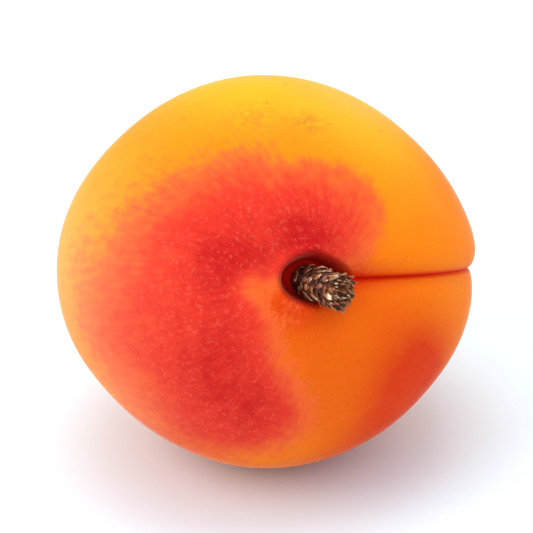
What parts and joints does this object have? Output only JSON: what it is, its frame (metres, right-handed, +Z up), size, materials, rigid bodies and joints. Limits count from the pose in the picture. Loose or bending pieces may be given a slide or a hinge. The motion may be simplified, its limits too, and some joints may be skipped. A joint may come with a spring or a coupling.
{
  "type": "apricot",
  "caption": "Whole ripe apricot lying on its side, with a seam between its two cheeks and a short woody stalk standing in its hollow.",
  "frame": {"origin": "middle of the part's outline, on the surface that it rests on", "axes": "+Z up from the surface; -Y towards the stalk end, which is turned 17 degrees to +X and raised 26 degrees; the seam lies to +X"},
  "size_m": [0.049, 0.0488, 0.0445],
  "materials": {
    "apricot_skin": "velvety, golden with a red blush",
    "stalk_bark": "rough dry bark"
  },
  "bodies": {
    "root": {"fruit": "apricot_skin", "stalk": "stalk_bark"}
  },
  "joints": []
}
